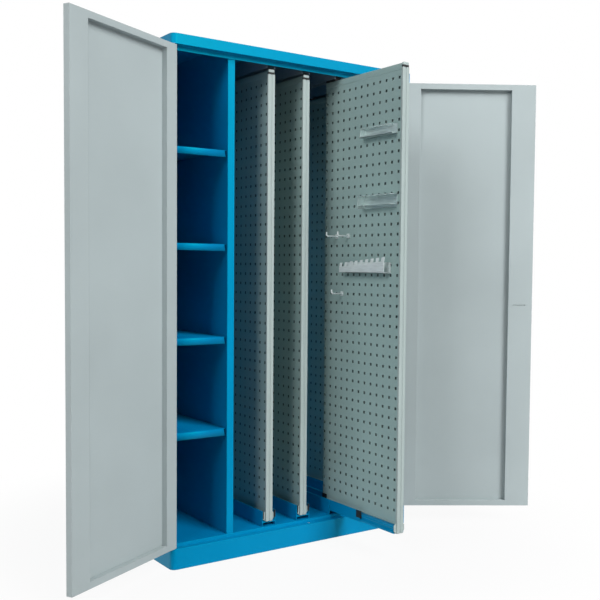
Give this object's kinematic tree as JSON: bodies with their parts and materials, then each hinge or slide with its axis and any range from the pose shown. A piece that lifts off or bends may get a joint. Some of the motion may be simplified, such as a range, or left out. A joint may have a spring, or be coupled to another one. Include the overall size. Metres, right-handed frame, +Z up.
{
  "type": "tool cabinet",
  "caption": "Free-standing steel workshop cabinet with shelves, upright perforated pull-out tool panels on telescopic slides, and two hinged doors.",
  "frame": {"origin": "middle of the cabinet on the ground: centre of the underside of the floor brace", "axes": "+X to the right seen from the front, +Y from the front to the back, +Z up"},
  "size_m": [1.9967, 0.981, 1.9],
  "materials": {
    "blue_steel": "satin powder coat",
    "grey_paint": "satin powder coat",
    "panel_paint": "satin powder coat",
    "profile_paint": "satin powder coat",
    "zinc_steel": "zinc plated",
    "black_plastic": "moulded"
  },
  "bodies": {
    "carcass": {"side_left": "blue_steel", "side_right": "blue_steel", "back_panel": "blue_steel", "roof_with_fascia": "blue_steel", "floor_panel": "blue_steel", "plinth": "blue_steel", "floor_brace": "blue_steel", "partition": "blue_steel", "shelf_1": "blue_steel", "shelf_2": "blue_steel", "shelf_3": "blue_steel", "shelf_4": "blue_steel", "hinge_pin_left_lower": "zinc_steel", "hinge_pin_left_upper": "zinc_steel", "hinge_pin_right_lower": "zinc_steel", "hinge_pin_right_upper": "zinc_steel", "slide_1_floor_rail": "blue_steel", "slide_1_top_rail": "zinc_steel", "slide_2_floor_rail": "blue_steel", "slide_2_top_rail": "zinc_steel", "slide_3_floor_rail": "blue_steel", "slide_3_top_rail": "zinc_steel", "slide_4_floor_rail": "blue_steel", "slide_4_top_rail": "zinc_steel"},
    "door_left": {"door_left_skin": "grey_paint", "door_left_frame": "grey_paint"},
    "door_right": {"door_right_skin": "grey_paint", "door_right_frame": "grey_paint", "lock_rosette": "zinc_steel"},
    "lock_lever": {"lock_handle": "black_plastic", "lock_cam": "zinc_steel"},
    "rod_upper": {"lock_rod_upper": "zinc_steel"},
    "rod_lower": {"lock_rod_lower": "zinc_steel"},
    "pull_out_1": {"panel_1_sheet": "panel_paint", "panel_1_profile": "profile_paint", "panel_1_runner": "blue_steel", "panel_1_top_guide": "black_plastic"},
    "middle_slide_1": {"slide_1_middle": "blue_steel"},
    "pull_out_2": {"panel_2_sheet": "panel_paint", "panel_2_profile": "profile_paint", "panel_2_runner": "blue_steel", "panel_2_top_guide": "black_plastic"},
    "middle_slide_2": {"slide_2_middle": "blue_steel"},
    "pull_out_3": {"panel_3_sheet": "panel_paint", "panel_3_profile": "profile_paint", "panel_3_runner": "blue_steel", "panel_3_top_guide": "black_plastic", "bit_tray": "zinc_steel", "driver_rack": "zinc_steel", "spanner_rack": "zinc_steel", "tool_hook_1": "zinc_steel", "tool_hook_2": "zinc_steel", "tool_hook_3": "zinc_steel"},
    "middle_slide_3": {"slide_3_middle": "blue_steel"},
    "pull_out_4": {"panel_4_sheet": "panel_paint", "panel_4_profile": "profile_paint", "panel_4_runner": "blue_steel", "panel_4_top_guide": "black_plastic"},
    "middle_slide_4": {"slide_4_middle": "blue_steel"}
  },
  "joints": [
    {"name": "door_left_hinge", "type": "hinge", "parent": "carcass", "child": "door_left", "pos_m": [-0.537, -0.29, 1], "axis": [0, 0, -1], "range_deg": [-151, 14]},
    {"name": "door_right_hinge", "type": "hinge", "parent": "carcass", "child": "door_right", "pos_m": [0.537, -0.29, 1], "axis": [0, 0, 1], "range_deg": [-86, 19]},
    {"name": "lock_turn", "type": "hinge", "parent": "door_right", "child": "lock_lever", "pos_m": [0.94206, -0.54874, 0.937], "axis": [-0.5592, -0.829, 0], "range_deg": [0, 90]},
    {"name": "rod_upper_slide", "type": "slide", "parent": "door_right", "child": "rod_upper", "axis": [0, 0, 1], "range_m": [0, 0.015]},
    {"name": "rod_lower_slide", "type": "slide", "parent": "door_right", "child": "rod_lower", "axis": [0, 0, -1], "range_m": [0, 0.015]},
    {"name": "pull_out_1_slide", "type": "slide", "parent": "carcass", "child": "pull_out_1", "axis": [0, -1, 0], "range_m": [0, 0.411]},
    {"name": "middle_slide_1_slide", "type": "slide", "parent": "carcass", "child": "middle_slide_1", "axis": [0, -1, 0], "range_m": [0, 0.2055]},
    {"name": "pull_out_2_slide", "type": "slide", "parent": "carcass", "child": "pull_out_2", "axis": [0, -1, 0], "range_m": [0, 0.411]},
    {"name": "middle_slide_2_slide", "type": "slide", "parent": "carcass", "child": "middle_slide_2", "axis": [0, -1, 0], "range_m": [0, 0.2055]},
    {"name": "pull_out_3_slide", "type": "slide", "parent": "carcass", "child": "pull_out_3", "axis": [0, -1, 0], "range_m": [-0.411, 0]},
    {"name": "middle_slide_3_slide", "type": "slide", "parent": "carcass", "child": "middle_slide_3", "axis": [0, -1, 0], "range_m": [-0.2055, 0]},
    {"name": "pull_out_4_slide", "type": "slide", "parent": "carcass", "child": "pull_out_4", "axis": [0, -1, 0], "range_m": [0, 0.411]},
    {"name": "middle_slide_4_slide", "type": "slide", "parent": "carcass", "child": "middle_slide_4", "axis": [0, -1, 0], "range_m": [0, 0.2055]}
  ],
  "couplings": [
    {"joint": "rod_upper_slide", "follows": "lock_turn", "m_per_rad": 0.0095493},
    {"joint": "rod_lower_slide", "follows": "lock_turn", "m_per_rad": 0.0095493},
    {"joint": "middle_slide_1_slide", "follows": "pull_out_1_slide", "ratio": 0.5},
    {"joint": "middle_slide_2_slide", "follows": "pull_out_2_slide", "ratio": 0.5},
    {"joint": "middle_slide_3_slide", "follows": "pull_out_3_slide", "ratio": 0.5},
    {"joint": "middle_slide_4_slide", "follows": "pull_out_4_slide", "ratio": 0.5}
  ]
}
